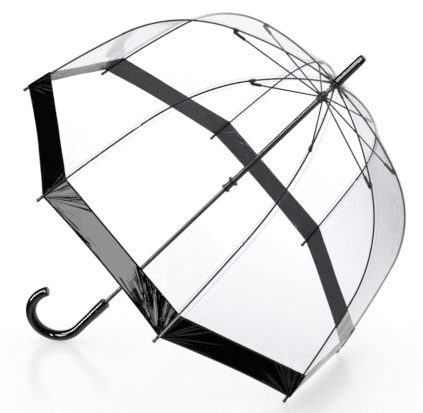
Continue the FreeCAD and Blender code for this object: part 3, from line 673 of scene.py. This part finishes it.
HANDLE_TOP, BEND_HEIGHT, BEND_RADIUS = -0.694, -0.790, 0.0565
SWEEP, CROOK_SIDE = math.radians(212.0), math.radians(-157.5)
STRAIGHT = HANDLE_TOP - BEND_HEIGHT


def handle_line(run):
    """(point, direction) of the handle's centre line this far from its top."""
    out = np.array([math.cos(CROOK_SIDE), math.sin(CROOK_SIDE), 0.0])
    if run <= STRAIGHT:
        return np.array([0, 0, HANDLE_TOP - run]), np.array([0, 0, -1.0])
    turn = (run - STRAIGHT) / BEND_RADIUS
    centre_drop = np.array([0, 0, BEND_HEIGHT - BEND_RADIUS * math.sin(turn)])
    point = out * BEND_RADIUS * (1 - math.cos(turn)) + centre_drop
    return point, out * math.sin(turn) + np.array([0, 0, -math.cos(turn)])


def handle_piece(name, stations):
    """A round bar along the handle's line from (run, radius) stations, closed at both ends."""
    rings = []
    lift = np.cross([math.cos(CROOK_SIDE), math.sin(CROOK_SIDE), 0], [0, 0, 1.0])
    for run, radius in stations:
        point, way = handle_line(run)
        side = np.cross(way, lift)
        a = np.linspace(0, 2 * math.pi, 57)[:, None]
        rings.append(point + radius * (np.cos(a) * lift + np.sin(a) * side))
    return grid_mesh(name, world(np.array(rings)))


LENGTH = STRAIGHT + BEND_RADIUS * SWEEP
BAR_RUNS = [0.022, 0.038, 0.046, 0.056, 0.094, 0.112, 0.130, 0.255, LENGTH]
BAR_RADII = [0.0114, 0.0112, 0.0106, 0.0103, 0.0103, 0.0109, 0.0114, 0.0112, 0.0104]
bar = [(0.0221, 0.0), (0.0221, 0.0108), (0.0228, 0.0113)]
for run in np.linspace(0.0235, LENGTH - 0.003, 90):
    bar.append((run, float(np.interp(run, BAR_RUNS, BAR_RADII))))
bar += [
    (LENGTH - 0.002, 0.0102), (LENGTH - 0.0008, 0.0095), (LENGTH - 0.0001, 0.0082), (LENGTH, 0.0060),
    (LENGTH, 0.0),
]
grip_bar = handle_piece("handle_bar", bar)
grip_bar.data.materials.append(MATERIALS["black_gloss"])
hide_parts("handle")
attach(grip_bar, "root")

# ---------------------------------------------------------------- floor, light and camera

bpy.ops.mesh.primitive_plane_add(size=80, location=(0, 0, -0.0005))
floor = bpy.context.object
floor.name = "floor"
net = Net(bpy.data.materials.new("pale_floor"))
sockets = {
    "Base Color": (0.42, 0.42, 0.43, 1.0), "Roughness": 0.20, "Specular IOR Level": 0.30,
    "Emission Color": WHITE, "Emission Strength": 0.50,
}
floor.data.materials.append(net.finish(net.add("BsdfPrincipled", sockets).outputs[0]))
floor.visible_glossy = False

# an even white sky, which surfaces mirror as dark towards -Y and bright towards +Y
studio = bpy.data.worlds.new("studio")
bpy.context.scene.world = studio
sky = Net(studio, "OutputWorld")
facing = sky.add("SeparateXYZ", {"Vector": sky.add("TexCoord").outputs["Generated"]}).outputs
sideways = sky.math("ADD", facing["Y"], sky.math("MULTIPLY", facing["X"], 0.3))
sockets = {"Value": sideways, "From Min": 0.15, "From Max": 0.5, "To Min": 0.02, "To Max": 0.8}
graded = sky.add("MapRange", sockets, interpolation_type="SMOOTHSTEP").outputs["Result"]
low = sky.ranged(facing["Z"], -0.75, -0.55, 0.6, 0.0)
below = sky.math("MULTIPLY", low, sky.ranged(facing["X"], 0.40, 0.55, 1.0, 0.0))
backdrop = sky.math("MAXIMUM", graded, below)
even = sky.add("Background", {"Color": WHITE, "Strength": 1.1}).outputs[0]
mirrored = sky.add("Background", {"Color": WHITE, "Strength": backdrop}).outputs[0]
glossy = sky.add("LightPath").outputs["Is Glossy Ray"]
sky.finish(sky.add("MixShader", {0: glossy, 1: even, 2: mirrored}).outputs[0])
bpy.context.scene.view_settings.view_transform = "Standard"


def softbox(name, place, facing, lean, width, height, radiance):
    """A rectangular light that faces a direction, its long side leaning by this many degrees."""
    light = bpy.data.lights.new(name, "AREA")
    light.shape, light.size, light.size_y = "RECTANGLE", width, height
    light.energy = radiance * width * height * math.pi
    light.color = (0.97, 0.98, 1.0)
    lamp = bpy.data.objects.new(name, light)
    turn = Vector(facing).to_track_quat("-Z", "Y") @ Matrix.Rotation(math.radians(lean), 3, "Z").to_quaternion()
    lamp.rotation_euler = turn.to_euler()
    lamp.location = place
    lamp.visible_camera = False
    lamp.visible_diffuse = False
    bpy.context.scene.collection.objects.link(lamp)
    return lamp


CAMERA_FROM_CROWN = Vector((0.74279, -2.35514, 0.28956))
FORWARD = Vector((-0.380607, 0.900710, -0.209428)).normalized()
RIGHT = Vector((0.920665, 0.390315, 0.005490)).normalized()

camera_data = bpy.data.cameras.new("camera")
camera_data.lens, camera_data.sensor_width = 111.07, 36.0
camera_data.clip_end = 200.0
camera = bpy.data.objects.new("camera", camera_data)
basis = Matrix((RIGHT, RIGHT.cross(FORWARD), -FORWARD)).transposed()
camera.matrix_world = Matrix.Translation(CROWN + CAMERA_FROM_CROWN) @ basis.to_4x4()
bpy.context.scene.collection.objects.link(camera)
bpy.context.scene.camera = camera

# the key is what the front hem band mirrors; the edge picks out its creases
LEAN = -24.5
softbox("key", (-0.45, -3.0, 1.07), (0.0, 1.0, 0.0), LEAN, 0.9, 1.8, 15.0)
softbox("edge", (0.72, -3.0, 0.55), (0.0, 1.0, 0.0), LEAN, 0.12, 1.5, 60.0)

# the strip stands along the shaft and draws the line of light on it
STRIP_FACING = (0.72, 0.65, -0.23)
strip = softbox("strip", (-2.0, -1.95, 1.15), STRIP_FACING, 0.0, 0.32, 3.2, 40.0)
towards = Vector(STRIP_FACING).normalized()
across = AXIS_Z.cross(-towards).normalized()
strip.rotation_euler = Matrix((across, (-towards).cross(across), -towards)).transposed().to_euler()
